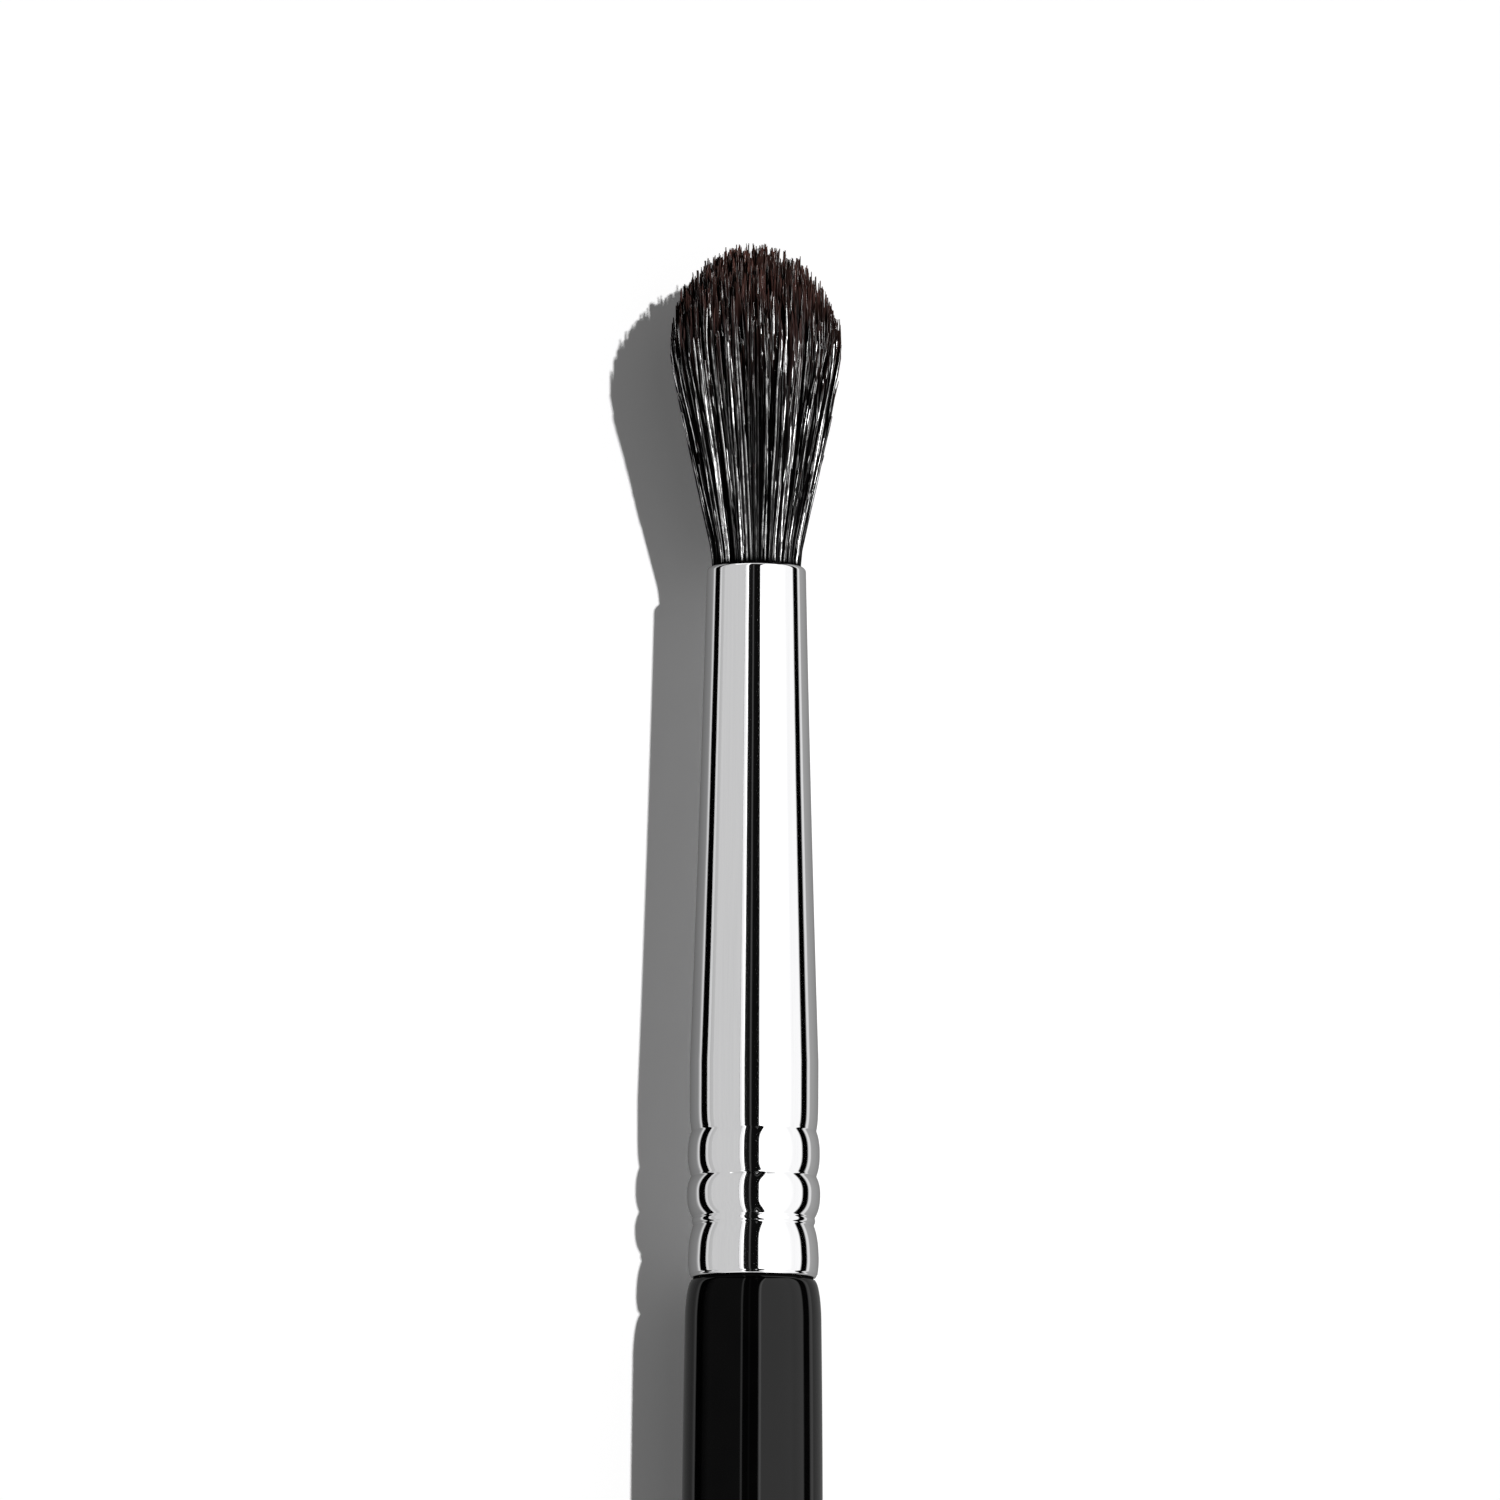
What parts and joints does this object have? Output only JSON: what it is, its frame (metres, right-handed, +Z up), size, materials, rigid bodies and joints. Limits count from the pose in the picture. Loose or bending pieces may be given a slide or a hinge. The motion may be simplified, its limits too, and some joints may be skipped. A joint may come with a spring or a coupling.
{
  "type": "eyeshadow brush",
  "caption": "Slim makeup brush for blending eyeshadow: a domed soft bristle head in a tapered plated ferrule with rolled rings, on a lacquered wooden handle.",
  "frame": {"origin": "on the table, under the middle of the brush's length, as it lies on its side", "axes": "+Y along the brush from the handle's tail to the bristle tips, +Z up from the table, +X to the right seen from above with the bristles pointing away"},
  "size_m": [0.0096, 0.17, 0.0096],
  "materials": {
    "black_lacquer": "gloss lacquer on turned hardwood",
    "plated_metal": "polished plating on a drawn brass tube",
    "bristle_hair": "soft dark hair with reddish brown tips",
    "tie_thread": "waxed cotton thread",
    "root_resin": "clear amber epoxy",
    "wood_glue": "dried glue"
  },
  "bodies": {
    "brush_body": {"handle": "black_lacquer", "ferrule": "plated_metal", "bristle_root": "bristle_hair", "binding_thread": "tie_thread", "root_resin": "root_resin", "tenon_glue": "wood_glue"},
    "bristle_body": {"bristle_head": "bristle_hair"}
  },
  "joints": [
    {"name": "bristle_flex", "type": "hinge", "parent": "brush_body", "child": "bristle_body", "pos_m": [0, 0.0697, 0.00471], "axis": [0, -0.0096, 1], "range_deg": [-35, 35], "stiffness_Nm_per_rad": 0.003, "deforming": ["bristle_head"]}
  ]
}
